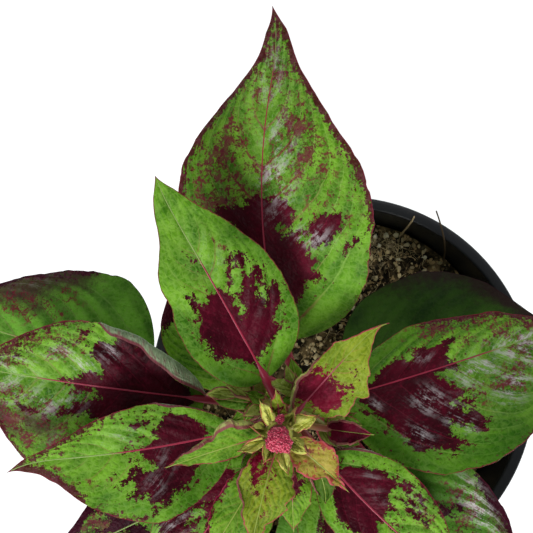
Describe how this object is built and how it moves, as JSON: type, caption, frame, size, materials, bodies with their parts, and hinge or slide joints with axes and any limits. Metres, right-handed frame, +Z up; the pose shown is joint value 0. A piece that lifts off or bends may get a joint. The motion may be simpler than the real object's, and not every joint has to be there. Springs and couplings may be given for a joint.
{
  "type": "potted celosia",
  "caption": "Young celosia plant in a round tapered nursery pot, with pointed maroon-blotched green leaves and a small pink crest at its tip.",
  "frame": {"origin": "centre of the pot's flat base, on the surface it stands on", "axes": "+Z up; +Y from the stem towards the large top leaf, +X to its right seen from above"},
  "size_m": [0.1974, 0.198, 0.1791],
  "materials": {
    "pot": "satin black",
    "soil": "rough dark peat",
    "stem": "ribbed green skin",
    "leaf": "satin green with maroon blotches",
    "young_leaf": "satin yellow-green with pink edges",
    "bract": "satin yellow-green",
    "crest": "velvety magenta-pink"
  },
  "bodies": {
    "root": {"pot": "pot", "soil": "soil", "stem": "stem", "leaf_low_s": "leaf", "leaf_low_w": "leaf", "leaf_low_e": "leaf", "leaf_low_sw": "leaf", "leaf_low_se": "leaf", "leaf_mid_nw": "leaf", "leaf_mid_s": "leaf", "leaf_mid_sw": "leaf", "leaf_mid_n": "leaf", "leaf_mid_w": "leaf", "leaf_mid_e": "leaf", "leaf_top_w": "leaf", "leaf_top_se": "leaf", "leaf_top_nw": "leaf", "young_leaf_ne": "young_leaf", "young_leaf_s": "young_leaf", "young_leaf_w": "young_leaf", "young_leaf_se": "young_leaf", "young_leaf_e": "young_leaf", "young_leaf_sse": "young_leaf", "young_leaf_sw": "young_leaf", "young_leaf_n": "young_leaf", "side_shoot_nw": "young_leaf", "side_shoot_n": "young_leaf", "side_shoot_e": "young_leaf", "side_shoot_se": "young_leaf", "side_shoot_sw": "young_leaf", "bracts": "bract", "crest": "crest"}
  },
  "joints": []
}
